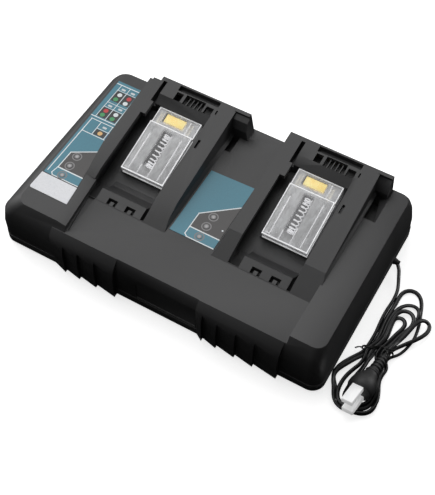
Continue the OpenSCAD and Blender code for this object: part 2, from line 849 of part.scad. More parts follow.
module cord_clamp() {
  color([0.15, 0.15, 0.16]) placed()
  difference() {
    box(half_w - 34, half_w - 24, cord_exit_y - 9, cord_exit_y + 9, floor_z + wall, 13.5);
    translate([half_w - 40, cord_exit_y, cord_exit_z + 0.6]) rotate([0, 90, 0]) cylinder(r = 2.7, h = 20);
  }
}

// rubber relief that the cord leaves the case through
module cord_strain_relief() {
  color([0.09, 0.09, 0.09]) placed() {
    translate([relief_x, cord_exit_y, cord_exit_z]) rotate([0, 90, 0])
      rotate_extrude() polygon([[0, 0], [3.8, 0], [3.8, 11], [3.2, 13.5], [2.7, 15], [0, 15]]);
    // flange inside the wall, flat below
    intersection() {
      translate([relief_x - 3, cord_exit_y, cord_exit_z]) rotate([0, 90, 0]) cylinder(r = 6, h = 3);
      box(relief_x - 4, relief_x + 1, cord_exit_y - 7, cord_exit_y + 7, floor_z + wall, split_z + 5);
    }
  }
}

module mains_cord() {
  color([0.08, 0.08, 0.08]) placed()
  tube(smooth(cord_route, 4), cord_d / 2, 10);
}

// both bights of the coil in one outline, open at the front where the plug's blades point out
module hank_outline() {
  translate([half_w, 0])
    polygon([[14.5, -106], [15.5, -84], [17, -74], [21, -60], [21, -41], [35, -41], [44.5, -60], [45, -84],
      [38, -100], [38, -106], [44, -101], [49, -84], [49, -64], [39, -42], [39, -34], [52, -12], [60.5, 4],
      [61, 10], [58, 14], [52, 18], [47, 27], [40, 33.5], [33, 36.5], [26, 34.5], [22, 28], [20, 10],
      [19.4, -20], [14.8, -20], [13.5, -40], [4, -62], [1, -76], [3, -90], [9, -101]]);
}

module cord_hank() {
  color([0.08, 0.08, 0.08]) placed()
  linear_extrude(hank_h) hank_outline();
}

module cord_tie() {
  color([0.06, 0.06, 0.06]) placed()
  difference() {
    box(half_w + 12.2, half_w + 40.4, tie_y, tie_y + 1.6, 0, hank_h + 1.4);
    translate([0, 0, -1]) linear_extrude(hank_h + 1) hank_outline();
  }
}

// the plug's own frame: Y runs back along the cord, Z through both blades
module on_plug() {
  translate(plug_at) rotate([0, 0, plug_turn]) rotate([-plug_tip, 0, 0]) rotate([0, -plug_roll, 0]) children();
}

module plug_body() {
  color([0.09, 0.09, 0.09]) placed()
  on_plug() {
    rotate([90, 0, 0]) rotate_extrude() polygon([[0, -plug_back], [5.6, -plug_back], [5.6, -3.6], [6.8, -3.6],
      [6.8, -2.3], [6.2, -1.9], [7.2, 1], [9.4, 5], [11.5, 9.5], [12.4, 14], [12.4, 18.5], [11.4, -plug_front],
      [0, -plug_front]]);
  }
}

module plug_strain_relief() {
  color([0.08, 0.08, 0.08]) placed()
  on_plug() {
    translate([0, plug_back, 0]) rotate([-90, 0, 0]) rotate_extrude() polygon([[0, 0], [5.6, 0], [5.6, 2],
      [4.3, 2], [4.3, 4], [5.4, 4], [5.4, 6], [4.1, 6], [4.1, 8], [5.2, 8], [5.2, 10], [3.9, 10], [3.9, 12],
      [4.9, 12], [4.9, 14], [3.6, 14], [3.6, 16], [4.4, 16], [4.4, 18], [3.3, 18], [2.9, 22], [0, 22]]);
  }
}

module plug_blades() {
  color([0.8, 0.75, 0.55]) placed()
  on_plug() {
    for (s = sides) {
      box(-blade_w / 2, blade_w / 2, plug_front - 17, plug_front, s * blade_pitch / 2 - blade_t / 2,
        s * blade_pitch / 2 + blade_t / 2);
    }
  }
}

module blade_sleeves() {
  color([0.92, 0.92, 0.92, 0.8]) placed()
  on_plug() {
    for (s = sides) {
      c = s * blade_pitch / 2;
      difference() {
        box(-5.4, 5.4, plug_front - 20, plug_front, c - 2.6, c + 2.6);
        box(-4.2, 4.2, plug_front - 18.6, plug_front + 1, c - 1.4, c + 1.4);
      }
    }
  }
}

// ---- assembly

lower_shell();
upper_shell();
left_bay_cradle();
right_bay_cradle();
left_terminal_holder();
right_terminal_holder();
left_terminal_cover();
right_terminal_cover();
left_return_spring();
right_return_spring();
left_signal_connector();
right_signal_connector();
left_power_contacts();
right_power_contacts();
left_label();
blank_sticker();
centre_label();
left_status_lenses();
centre_status_lenses();
left_light_board();
centre_light_board();
left_fan_frame();
right_fan_frame();
left_fan_rotor();
right_fan_rotor();
main_board();
transformer();
filter_capacitor();
output_capacitors();
line_choke();
fuse();
left_heat_sink();
right_heat_sink();
relays();
buzzer();
board_screws();
case_screws();
rubber_feet();
cord_clamp();
cord_strain_relief();
mains_cord();
cord_hank();
cord_tie();
plug_body();
plug_strain_relief();
plug_blades();
blade_sleeves();
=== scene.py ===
import bpy, bmesh, json, math
import numpy as np
from mathutils import Vector, Matrix


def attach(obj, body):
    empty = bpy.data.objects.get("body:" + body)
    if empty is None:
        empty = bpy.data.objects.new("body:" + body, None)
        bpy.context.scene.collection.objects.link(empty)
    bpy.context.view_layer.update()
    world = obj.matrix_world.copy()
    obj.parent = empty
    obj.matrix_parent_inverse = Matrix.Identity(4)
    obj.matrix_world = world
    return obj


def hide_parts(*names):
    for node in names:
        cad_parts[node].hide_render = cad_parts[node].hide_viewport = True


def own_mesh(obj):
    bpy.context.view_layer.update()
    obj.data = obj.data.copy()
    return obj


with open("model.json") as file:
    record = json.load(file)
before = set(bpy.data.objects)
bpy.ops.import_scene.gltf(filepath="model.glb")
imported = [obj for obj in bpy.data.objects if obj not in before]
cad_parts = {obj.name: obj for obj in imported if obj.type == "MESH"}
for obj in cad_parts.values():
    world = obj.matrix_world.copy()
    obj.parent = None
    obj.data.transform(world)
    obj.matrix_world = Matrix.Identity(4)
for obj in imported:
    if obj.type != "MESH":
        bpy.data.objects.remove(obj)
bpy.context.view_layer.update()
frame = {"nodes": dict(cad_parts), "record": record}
scene = bpy.context.scene
nodes = frame["nodes"]
record = frame["record"]
mm = 0.001
# the middle between the bays, from the origin: the places below are measured from it, in millimetres
middle = Vector((6.5, 1.5, 0))
fromMiddle = Matrix.Translation(middle * mm)


# a number that comes out of a shader node, with the usual operators
class Wire:
    def __init__(self, finish, socket):
        self.finish, self.socket = finish, socket

    def math(self, operation, *others):
        sockets = {i: v for i, v in enumerate((self, *others))}
        return self.finish.number("ShaderNodeMath", {"operation": operation}, sockets)

    def __add__(self, other): return self.math("ADD", other)
    def __sub__(self, other): return self.math("SUBTRACT", other)
    def __mul__(self, other): return self.math("MULTIPLY", other)
    def __rsub__(self, other): return (self * -1) + other
    def __neg__(self): return self * -1
    __radd__ = __add__
    def __lt__(self, other): return self.math("LESS_THAN", other)
    def __gt__(self, other): return self.math("GREATER_THAN", other)
    def __abs__(self): return self.math("ABSOLUTE")
    def __or__(self, other): return self.math("MAXIMUM", other)
    def __and__(self, other): return self.math("MINIMUM", other)
    def root(self): return self.math("SQRT")
    def clip(self): return (self | 0.0) & 1.0

    # runs from 0 at low to 1 at high
    def between(self, low, high):
        return self.finish.number("ShaderNodeMapRange", {"clamp": True}, {0: self, 1: low, 2: high})


# a material on one Principled shader
class Finish:
    def __init__(self, name, **shader):
        self.material = bpy.data.materials.new(name)
        self.material.use_nodes = True
        self.tree = self.material.node_tree
        self.shader = self.tree.nodes["Principled BSDF"]
        self.place = self.add("ShaderNodeTexCoord").outputs["Object"]
        for socket, value in shader.items():
            self.feed(socket.replace("_", " "), value)

    # any node: its type, its settings, then the values or links of its sockets
    def add(self, kind, settings=None, sockets=None):
        node = self.tree.nodes.new(kind)
        for key, value in (settings or {}).items():
            setattr(node, key, value)
        for key, value in (sockets or {}).items():
            self.join(node.inputs[key], value)
        return node

    def join(self, socket, value):
        if isinstance(value, Wire):
            value = value.socket
        if isinstance(value, bpy.types.NodeSocket):
            self.tree.links.new(value, socket)
        elif isinstance(value, tuple) and len(value) == 3 and socket.type == "RGBA":
            socket.default_value = (*value, 1)
        else:
            socket.default_value = value

    def feed(self, socket, value):
        self.join(self.shader.inputs[socket], value)

    def number(self, kind, settings=None, sockets=None):
        return Wire(self, self.add(kind, settings, sockets).outputs[0])

    # where the surface is, in millimetres from the middle between the bays
    def axes(self):
        split = self.add("ShaderNodeSeparateXYZ", {}, {0: self.place})
        return [Wire(self, split.outputs[i]) * 1000 - middle[i] for i in range(3)]

    # the base colour, from the first to the second as a noise rises from low to high
    def mottled(self, noise, low, high, first, second):
        self.feed("Base Color", self.mix(noise.between(low, high), first, second))

    def noise(self, scale, detail=2, rough=0.5, stretch=None):
        place = self.place
        if stretch:
            place = self.add("ShaderNodeMapping", {}, {"Vector": place, "Scale": stretch}).outputs[0]
        sockets = {"Vector": place, "Scale": scale, "Detail": detail, "Roughness": rough}
        return self.number("ShaderNodeTexNoise", {}, sockets)

    def mix(self, share, first, second):
        return self.add("ShaderNodeMix", {"data_type": "RGBA"}, {0: share, 6: first, 7: second}).outputs[2]

    def bump(self, height, strength, distance=0.0002):
        sockets = {"Height": height, "Strength": strength, "Distance": distance}
        self.feed("Normal", self.add("ShaderNodeBump", {}, sockets).outputs[0])


def shade(colour, factor):
    return tuple(min(1.0, c * factor) for c in colour)


# moulded plastic: fine texture, slow flow marks, slightly uneven gloss
def moulded(name, colour, rough=0.5, grain=0.2, grainScale=1500, spread=0.1, **shader):
    finish = Finish(name, **shader)
    flow = finish.noise(28, 3)
    fine = finish.noise(grainScale, 2, 0.6)
    finish.mottled(flow, 0.3, 0.7, shade(colour, 1 - spread), shade(colour, 1 + spread))
    finish.feed("Roughness", (flow * 0.1 + fine * 0.12 + (rough - 0.11)).clip())
    finish.bump(fine, grain)
    return finish.material


# drawn or plated metal with fine lines
def metal(name, colour, rough=0.3, stretch=(1, 1, 25)):
    finish = Finish(name, Metallic=1.0)
    lines = finish.noise(700, 3, 0.6, stretch)
    finish.mottled(lines, 0.3, 0.7, shade(colour, 0.82), colour)
    finish.feed("Roughness", (lines * 0.25 + (rough - 0.12)).clip())
    finish.bump(lines, 0.15, 0.0001)
    return finish.material


def freeSelection():
    bpy.ops.object.select_all(action="DESELECT")
    bpy.context.view_layer.objects.active = None


def only(piece):
    freeSelection()
    piece.select_set(True)
    bpy.context.view_layer.objects.active = piece


def newPiece(name, mesh):
    piece = bpy.data.objects.new(name, mesh)
    scene.collection.objects.link(piece)
    return piece


def modify(piece, kind, **settings):
    only(piece)
    modifier = piece.modifiers.new(kind.lower(), kind)
    for key, value in settings.items():
        setattr(modifier, key, value)
    bpy.ops.object.modifier_apply(modifier=modifier.name)
    freeSelection()


def smoothBy(piece, degrees=30):
    only(piece)
    bpy.ops.object.shade_smooth_by_angle(angle=math.radians(degrees))
    freeSelection()


def paint(piece, material):
    piece.data.materials.clear()
    piece.data.materials.append(material)
    for face in piece.data.polygons:
        face.material_index = 0


def bodyOf(node):
    return next(body for body, names in record["behaviour"]["bodies"].items() if node in names)


# places a finished piece: material, body, and the node it stands for
def fit(piece, material, body="base", replaces=()):
    if material:
        paint(piece, material)
    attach(piece, body)
    if replaces:
        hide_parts(*replaces)
    return piece


# a merged copy of a CAD node with rounded edges, which stands for it
def rounded(node, material, width=0.5, segments=2, sharp=35, flat=0.4, smoothAngle=32):
    piece = newPiece(node + "_finish", nodes[node].data.copy())
    mesh = bmesh.new()
    mesh.from_mesh(piece.data)
    bmesh.ops.remove_doubles(mesh, verts=mesh.verts, dist=3e-6)
    bmesh.ops.dissolve_limit(mesh, angle_limit=math.radians(flat), verts=mesh.verts, edges=mesh.edges)
    mesh.to_mesh(piece.data)
    mesh.free()
    if width:
        modify(piece, "BEVEL", width=width * mm, segments=segments, limit_method="ANGLE",
               angle_limit=math.radians(sharp), use_clamp_overlap=True)
    smoothBy(piece, smoothAngle)
    return fit(piece, material, bodyOf(node), [node])


# a block between two corners with rounded edges, in millimetres, turned and moved by a matrix
def block(name, low, high, edge=0.3, segments=2, turn=None):
    freeSelection()
    bpy.ops.mesh.primitive_cube_add(size=1)
    piece = bpy.context.object
    piece.name = name
    size = [(h - l) * mm for l, h in zip(low, high)]
    centre = [(h + l) / 2 * mm for l, h in zip(low, high)]
    piece.data.transform(Matrix.Translation(centre) @ Matrix.Diagonal((*size, 1)))
    if edge:
        modify(piece, "BEVEL", width=edge * mm, segments=segments)
    piece.data.transform(fromMiddle @ turn if turn else fromMiddle)
    smoothBy(piece, 40)
    return piece


# joins several pieces into the first
def joined(pieces, name):
    freeSelection()
    for piece in pieces:
        piece.select_set(True)
    bpy.context.view_layer.objects.active = pieces[0]
    bpy.ops.object.join()
    piece = bpy.context.object
    piece.name = name
    freeSelection()
    return piece


# a smooth curve through the points, then evenly spaced
def curveThrough(points, spacing=1.0, softening=6):
    padded = np.vstack([points[:1], points, points[-1:]])
    fine = []
    for i in range(1, len(padded) - 2):
        p0, p1, p2, p3 = padded[i - 1:i + 3]
        for t in np.arange(8) / 8:
            fine.append(0.5 * (2 * p1 + (p2 - p0) * t + (2 * p0 - 5 * p1 + 4 * p2 - p3) * t * t
                               + (3 * p1 - p0 - 3 * p2 + p3) * t ** 3))
    fine = np.array(fine + [padded[-1]])
    along = np.r_[0, np.cumsum(np.linalg.norm(np.diff(fine, axis=0), axis=1))]
    stations = np.linspace(0, along[-1], int(along[-1] / spacing) + 1)
    even = np.stack([np.interp(stations, along, fine[:, k]) for k in range(3)], 1)
    for _ in range(softening):
        even[1:-1] = 0.25 * even[:-2] + 0.5 * even[1:-1] + 0.25 * even[2:]
    return even


# a closed piece from rings of points in millimetres, each ring with the same number of corners
def fromRings(name, points, corners, smooth):
    rings = len(points) // corners
    faces = [(i * corners + k, i * corners + (k + 1) % corners, (i + 1) * corners + (k + 1) % corners,
              (i + 1) * corners + k) for i in range(rings - 1) for k in range(corners)]
    faces += [tuple(range(corners))[::-1], tuple((rings - 1) * corners + k for k in range(corners))]
    mesh = bpy.data.meshes.new(name)
    mesh.from_pydata([tuple(point * mm) for point in np.array(points)], [], faces)
    shape = bmesh.new()
    shape.from_mesh(mesh)
    bmesh.ops.recalc_face_normals(shape, faces=shape.faces)
    shape.to_mesh(mesh)
    shape.free()
    mesh.transform(fromMiddle)
    piece = newPiece(name, mesh)
    smoothBy(piece, smooth)
    return piece


# a tube along a path in millimetres: an outline, rolled by an angle that depends on the way travelled
def tubeAlong(name, path, outline, roll=None):
    path = np.asarray(path, float)
    ahead = np.gradient(path, axis=0)
    ahead /= np.linalg.norm(ahead, axis=1)[:, None]
    side = np.cross(ahead[0], (0, 0, 1.0))
    side /= np.linalg.norm(side)
    points = []
    travelled = 0
    for i in range(len(path)):
        side = side - ahead[i] * side.dot(ahead[i])
        side /= np.linalg.norm(side)
        over = np.cross(side, ahead[i])
        if i:
            travelled += np.linalg.norm(path[i] - path[i - 1])
        angle = roll(travelled) if roll else 0
        c, s = math.cos(angle), math.sin(angle)
        points += [path[i] + side * (u * c - v * s) + over * (u * s + v * c) for u, v in outline]
    return fromRings(name, points, len(outline), 50)


def circle(radius, corners):
    angles = [2 * math.pi * k / corners for k in range(corners)]
    return [(radius * math.cos(angle), radius * math.sin(angle)) for angle in angles]


# camera
view = {"azimuth": 29.12, "elevation": 56.79, "roll": 0.6, "target": (17.98, -26.79, 30), "distance": 962.43,
        "lens": 74.47, "sensor": 36, "seesTo": 20}
camera = bpy.data.objects.new("camera", bpy.data.cameras.new("camera"))
scene.collection.objects.link(camera)
scene.camera = camera
camera.data.lens, camera.data.sensor_width, camera.data.clip_end = view["lens"], view["sensor"], view["seesTo"]
azimuth, elevation, roll = (math.radians(view[key]) for key in ("azimuth", "elevation", "roll"))
back = Vector((math.sin(azimuth) * math.cos(elevation), -math.cos(azimuth) * math.cos(elevation),
               math.sin(elevation)))
level = Vector((math.cos(azimuth), math.sin(azimuth), 0))
upward = back.cross(level)
right = level * math.cos(roll) + upward * math.sin(roll)
upward = upward * math.cos(roll) - level * math.sin(roll)
camera.matrix_world = (Matrix.Translation((Vector(view["target"]) + middle + back * view["distance"]) * mm)
                       @ Matrix((right, upward, back)).transposed().to_4x4())
print("camera placed")

# cord: the whole lead from the case to the plug, five turns through the tie, in millimetres
cordSize = {"width": 4.0, "height": 3.0, "corners": 14, "groove": 0.14, "grooveWidth": 0.6, "spacing": 1.2}
cordRoll = {"start": 0.35, "swing": 0.8, "every": 230}
cordExit = (168, 57.5, 7)
cordRoute = (
    "168,57.5,7 172.9,52.3,5.1 175.9,45.6,3.5 178.8,38.8,2.3 181.1,31.7,2.1 181.9,24.4,2.1 182,17.1,2.1 "
    "181.3,9.9,2.1 181,2.5,2.1 181.2,-5,2.1 181.7,-12.6,2.1 182.3,-20.1,2.1 182.2,-27.6,2.1 181.9,-35.1,2.1 "
    "180.9,-42.5,2.1 177.5,-49,2.1 173.5,-55.4,2.1 169.9,-62,2.1 167.2,-69,2.1 166.8,-76.4,2.1 "
    "170.1,-82.9,2.1 174.8,-88.8,2.1 179.3,-94.9,1.9 184.5,-100,1.9 191.3,-102.2,1.8 198.9,-101.7,1.8 "
    "206.2,-99.2,1.8 211.2,-93.9,2 212.2,-86.6,2 210.2,-79.4,1.9 207.6,-72.4,1.8 205.9,-64.9,1.8 "
    "205.4,-57.8,1.8 206.3,-48.6,1.8 202.3,-42.5,2 204.7,-36.7,2.1 209.7,-31,2.1 212.7,-24.2,2.1 "
    "214.5,-16.9,2.1 215.6,-9.5,2.1 215.3,-2,2.1 214.2,5.4,2 212.4,12.6,1.9 210.2,19.9,2.1 207.9,27,2.1 "
    "204.3,33.7,2.1 198.4,38,2.1 191.3,37.3,2.1 186.6,31.7,2.1 185.6,24.4,2.1 185.7,16.8,2.1 185,9.3,2.1 "
    "184.6,1.8,2 184.7,-6,1.9 185.3,-13.5,2.1 186,-20.7,2 185.8,-27.8,1.8 185.6,-35.3,1.8 184.5,-42.7,2.3 "
    "181.2,-49.2,4.2 177.5,-55.6,5.7 173.9,-62.1,5.6 170.4,-68.8,5.6 168,-75.9,5.7 168.9,-83.1,5.7 "
    "172.6,-89.6,5.5 175.7,-96.5,5.3 180.2,-102.4,5.1 187.4,-105,4.3 195.1,-104,4.8 202.3,-101.6,5.3 "
    "208.7,-98.3,5.6 212,-91.9,5.7 212.6,-84.5,5.7 210.6,-76.4,5.1 207.5,-69.6,5.4 205.4,-62.7,5.4 "
    "204.1,-56,4.8 202.2,-48.8,2 197,-43.3,2.1 196.1,-37,2 198,-29.7,2.1 200.5,-22.6,2.1 202.3,-15.4,2.1 "
    "204.6,-8.3,2.1 207.2,-1.3,1.9 209.7,5.9,2.6 210.5,12.9,5.1 207.9,19.5,5.2 202,23,3 195.3,20.9,2.1 "
    "190.7,15,2.1 188.5,7.9,2.1 188,0.4,2.4 188.3,-7.2,2.5 189.1,-14.7,2 189.4,-21.9,2.7 187.8,-29,4.6 "
    "184.9,-36,5.3 183.3,-43.1,6 184.6,-50.6,5.9 183.8,-57.9,5.5 181.1,-64.9,5.5 178.7,-72,5.5 "
    "177.3,-79.4,5.5 177.2,-86.9,5.5 178.7,-94.2,5.5 183,-100,5.4 189.8,-101.4,5.3 197,-99.4,4.1 "
    "203.5,-96.3,3.2 208.1,-90.5,3.3 209.2,-83.4,4.7 208.1,-76.1,8.1 206.2,-68.9,8.8 204.9,-61.6,8.9 "
    "204.8,-53.9,7.8 198.4,-47.1,5 196.9,-40.6,5.6 197.6,-33.3,5.5 201.3,-26.9,5.5 204,-20,5.5 "
    "205.7,-12.7,5.5 207.4,-5.4,5.5 208.8,2,5.7 207.4,9.1,5.7 201.8,13.5,5.1 194.9,12.2,4.6 191.2,5.9,4.9 "
    "190.4,-1.6,5.3 190.8,-9.1,5.4 191.5,-16.6,5.6 191.9,-24,5.8 190.4,-31.4,5.8 187.7,-38.7,6 "
    "187.4,-46.2,5.8 188.4,-53.6,6 187.5,-61,6 185.8,-68.2,5.1 184.6,-75.6,3.6 184,-83,2.5 184,-90.5,2.1 "
    "187.7,-96.3,2.1 194.8,-96.9,2 201.5,-93.5,1.9 205.7,-88,1.8 206.7,-80.5,1.8 204,-73.3,1.8 "
    "202.5,-66.2,2.2 201.7,-58.6,2 199.2,-51.3,1.8 195.3,-46.7,2 192.5,-40.8,1.8 192.9,-33.6,2.2 "
    "195.3,-27.1,2.2 197.4,-20.1,2.1 199.3,-12.8,2.1 201.6,-5.5,2.1 202.5,1.8,2.3 197.5,5.9,2.3 191.9,3.1,1.8 "
    "191.5,-3.5,1.8 192.3,-10.9,2 193.1,-18.7,2.1 191.7,-26.5,1.8 189.2,-34.1,1.8 189.2,-40.9,3.3 "
    "190.1,-46.4,8.3 188.9,-53.3,9.9 188.6,-60.8,9.5 187.5,-68.1,8.4 185.5,-75.2,7.1 184.6,-82.6,6.1 "
    "185.2,-90.2,5.6 189.2,-95.9,5.6 196.3,-96.3,6 202.7,-93,6 205.7,-86.8,5.8 205.8,-79.3,5.1 "
    "204.6,-71.9,5.3 202.4,-64.7,5.7 200.7,-57.4,5.4 203.3,-48.2,5.8 202.6,-41.6,7.3 202.9,-34.9,8.9 "
    "206.4,-28.4,8.6 210.4,-22,7.6 214.5,-15.9,6.9 218.6,-9.6,6.2 221.9,-3,5 223.9,4.3,3.8 222.6,11.1,3.8 "
    "216.9,11.6,6.5 212.4,6.3,9 210.4,-0.9,9.7 208.9,-8.3,9.6 207.1,-15.5,9.3 204.8,-22.6,9.6 "
    "202.9,-29.6,11.7 201.2,-36.7,12.1 200.6,-41.4,10.4")
route = np.array([[float(v) for v in point.split(",")] for point in cordRoute.split()])
cordPath = curveThrough(route, cordSize["spacing"])
cordOutline = []
for u, v in circle(0.5, cordSize["corners"]):
    u, v = u * cordSize["width"], v * cordSize["height"]
    cordOutline.append((u, v * (1 - cordSize["groove"] * math.exp(-(u / cordSize["grooveWidth"]) ** 2))))


# the flat cord rolls slowly from side to side as it runs
def cordAngle(travelled):
    return cordRoll["start"] + cordRoll["swing"] * math.sin(2 * math.pi * travelled / cordRoll["every"])


cordSheath = moulded("cordSheath", (0.012, 0.012, 0.013), 0.36, 0.08, 2500, 0.15)
cordPiece = tubeAlong("cord", cordPath, cordOutline, cordAngle)
fit(cordPiece, cordSheath, "base", ["mains_cord", "cord_hank"])

# plug, lying on its edge at the end of the lead
plugRubber = moulded("plugRubber", (0.025, 0.025, 0.026), 0.55, 0.2, 1600)
plugBody = rounded("plug_body", plugRubber, 0.8, 3, 40)
plugRelief = rounded("plug_strain_relief", plugRubber, 0.35, 2, 40)

# milky sleeves on the blades, with a painted glow from their emission
milky = Finish("sleevePlastic", Roughness=0.3, Emission_Strength=0.25, Emission_Color=(1.0, 1.0, 1.0))
milk = milky.noise(120, 3)
milky.mottled(milk, 0.3, 0.7, (0.86, 0.87, 0.88), (0.97, 0.97, 0.97))
milky.feed("Alpha", (milk * 0.15 + 0.84).clip())
bladeSleeves = rounded("blade_sleeves", milky.material, 0.7, 3)

# strain relief at the case, tapering onto the cord: its radius along x, and a flange cut flat below
reliefProfile = [(150, 5.9), (153, 5.9), (153.1, 3.75), (164.6, 3.75), (165.2, 3.5), (166.4, 3.4), (166.8, 3.0),
                 (168, 2.9), (168.4, 2.5), (169.6, 2.4), (170, 2.15), (171, 2.1)]
reliefShape = {"corners": 24, "flangeOver": 5, "flangeBelow": -2.35}
reliefPoints = []
for x, radius in reliefProfile:
    lowest = reliefShape["flangeBelow"] if radius > reliefShape["flangeOver"] else -radius
    reliefPoints += [(x, cordExit[1] + across, cordExit[2] + max(rise, lowest))
                     for across, rise in circle(radius, reliefShape["corners"])]
cordRelief = fromRings("cord_relief", reliefPoints, reliefShape["corners"], 40)
fit(cordRelief, plugRubber, "base", ["cord_strain_relief"])

# thin wire tie: round the bundle twice, twisted at the left, two short ends on top
tieWire = {"radius": 0.55, "endRadius": 0.5, "corners": 8, "secondTurn": 1.1, "wind": 0.55}
tieEnd = circle(tieWire["endRadius"], tieWire["corners"])
tieLoop = [(179.6, -40.6, 0.9), (185, -39.6, 0.75), (192, -38.4, 0.75), (199, -37, 0.75), (204.2, -36.2, 1.2),
           (206, -35.8, 3.2), (205.4, -35.8, 8.2), (203.2, -36.2, 11.4), (199.3, -35.6, 12.2),
           (196.8, -36.4, 14.2), (193.6, -37.2, 14.4), (190.6, -38.1, 11.9), (187, -39, 8.6), (182, -40, 7.9),
           (178.6, -40.7, 6.4), (177.6, -40.9, 3.4), (178.4, -40.8, 1.5)]
loops = np.array(tieLoop + [(x, y + tieWire["secondTurn"], z) for x, y, z in tieLoop] + [tieLoop[0]])
tieParts = [tubeAlong("tie_loop", curveThrough(loops, 0.8, 3), circle(tieWire["radius"], tieWire["corners"]))]
twistCentre = [(177.4, -41.2, 4.4), (175.8, -42, 5), (174.2, -43, 4.6), (172.8, -44.2, 3.8)]
for phase in (0, math.pi):
    core = curveThrough(np.array(twistCentre), 0.35, 4)
    spin = np.arange(len(core)) * tieWire["wind"] + phase
    wound = core + np.stack([np.cos(spin) * 0.55, np.cos(spin) * 0.3, np.sin(spin) * 0.6], 1)
    tieParts.append(tubeAlong("tie_twist", wound, tieEnd))
for ends in ([(196.5, -36.4, 14.3), (199.4, -36.6, 14.9), (203, -35.6, 14.4), (206.6, -33.2, 13.4)],
             [(196, -36.8, 14.2), (199.2, -38.6, 14.8), (202.4, -41.4, 14.2), (204.8, -43.6, 13.2)]):
    tieParts.append(tubeAlong("tie_end", curveThrough(np.array(ends), 0.8, 3), tieEnd))
tie = joined(tieParts, "tie")
fit(tie, moulded("tiePlastic", (0.012, 0.012, 0.012), 0.42, 0.05), "base", ["cord_tie"])

print("cord laid:", len(cordPath), "points")

# floor: pale and evenly lit, it throws no light back under the case
freeSelection()
bpy.ops.mesh.primitive_plane_add(size=6, location=(0, 0, 0))
floor = bpy.context.object
floor.name = "floor"
floorPaper = Finish("floorPaper", Base_Color=(0.8, 0.8, 0.8), Roughness=0.9, Specular_IOR_Level=0,
                    Emission_Color=(1.0, 1.0, 1.0), Emission_Strength=0.72)
paint(floor, floorPaper.material)
floor.visible_diffuse = False
floor.visible_glossy = False

# soft studio light: bright overhead, behind and at the left, dim from the right, the front and below
studio = {"top": 0.6, "side": 1.7, "front": 0.2, "overhead": 8.0, "shade": 0.85, "rim": 5.0}
world = bpy.data.worlds.new("studio")
scene.world = world
world.use_nodes = True
worldTree = world.node_tree


# the world's nodes, built in the same way as those of a material
class Sky:
    def __init__(self):
        self.tree = worldTree

    add, join, number = Finish.add, Finish.join, Finish.number


sky = Sky()
direction = sky.add("ShaderNodeTexCoord").outputs["Generated"]
axesSplit = sky.add("ShaderNodeSeparateXYZ", {}, {0: direction})
dx, dy, dz = [Wire(sky, axesSplit.outputs[i]) for i in range(3)]
above = dz.between(-0.02, 0.12)
facing = dy.between(-0.7, 0.15)
glow = (studio["front"] + facing * (studio["top"] - studio["front"])) * above
glow = glow * (1 - dx.between(-0.1, 0.45) * studio["shade"])
sideGlow = ((-dx).between(0.55, 0.95) * dz.between(-0.3, 0.0) * dy.between(-0.5, 0.1)) * studio["side"]
strength = glow + sideGlow
worldTree.links.new(strength.socket, worldTree.nodes["Background"].inputs["Strength"])
worldTree.nodes["Background"].inputs["Color"].default_value = (1, 1, 1, 1)


def softbox(name, place, target, size, watts):
    light = bpy.data.objects.new(name, bpy.data.lights.new(name, "AREA"))
    light.data.shape, light.data.size, light.data.size_y = "RECTANGLE", *size
    light.data.energy = watts
    light.location = place
    light.rotation_euler = (Vector(target) - Vector(place)).to_track_quat("-Z", "Y").to_euler()
    scene.collection.objects.link(light)


softbox("overhead", (-0.45, 0.45, 1.3), (0, 0, 0.05), (1.4, 1.0), studio["overhead"])
softbox("rightRear", (0.9, 1.0, 0.35), (0.1, 0.08, 0.04), (0.5, 0.4), studio["rim"])
scene.view_settings.view_transform = "Standard"
print("studio lit")

# case
caseDark = (0.037, 0.037, 0.038)
casePlastic = moulded("casePlastic", caseDark, 0.46, 0.16)
cradlePlastic = moulded("cradlePlastic", shade(caseDark, 0.97), 0.48, 0.16)
rounded("upper_shell", casePlastic, 0.55, 3, 25)
rounded("lower_shell", casePlastic, 0.45, 2, 30)
rounded("left_bay_cradle", cradlePlastic, 0.3, 2, 25, 0.05, 14)
rounded("right_bay_cradle", cradlePlastic, 0, 2, 25, 0.05, 14)
print("case done")

# terminal blocks, in the tilted frame of each bay: x across, y up the slope, z off the block
tilt = math.radians(12)
sides = {"left": -1, "right": 1}
bay = {"x": 76.5, "z": 57.5}
coverShape = {"half": 23.3, "front": -7.6, "step": 49.5, "rear": 68}
springShape = {"turns": 11, "perTurn": 18, "wire": 0.6, "radius": 3.3, "x": -1, "front": 5.4, "length": 38.7,
               "z": -5.6, "rear": 44.5, "closing": 0.08, "keep": 0.545}
holderPlastic = moulded("holderPlastic", (0.11, 0.11, 0.115), 0.5, 0.15)
# the signal connectors glow orange with emission: painted light
connectorPlastic = Finish("connectorPlastic", Roughness=0.4, Emission_Strength=0.3)
connectorPlastic.feed("Emission Color", (1.0, 0.75, 0.25))
connectorPlastic.mottled(connectorPlastic.noise(90, 2), 0.3, 0.7, (1.0, 0.74, 0.2), (0.97, 0.9, 0.42))
connectorPlastic.bump(connectorPlastic.noise(1500), 0.1)
# the spring wire glows with emission: a painted highlight on its turns
springWire = moulded("springWire", (0.9, 0.9, 0.92), 0.3, 0.1, 2000, 0.05, Metallic=0.1, Emission_Strength=0.35,
                     Emission_Color=(0.9, 0.9, 0.92))
contactPlate = metal("contactPlate", (0.8, 0.72, 0.5), 0.3)
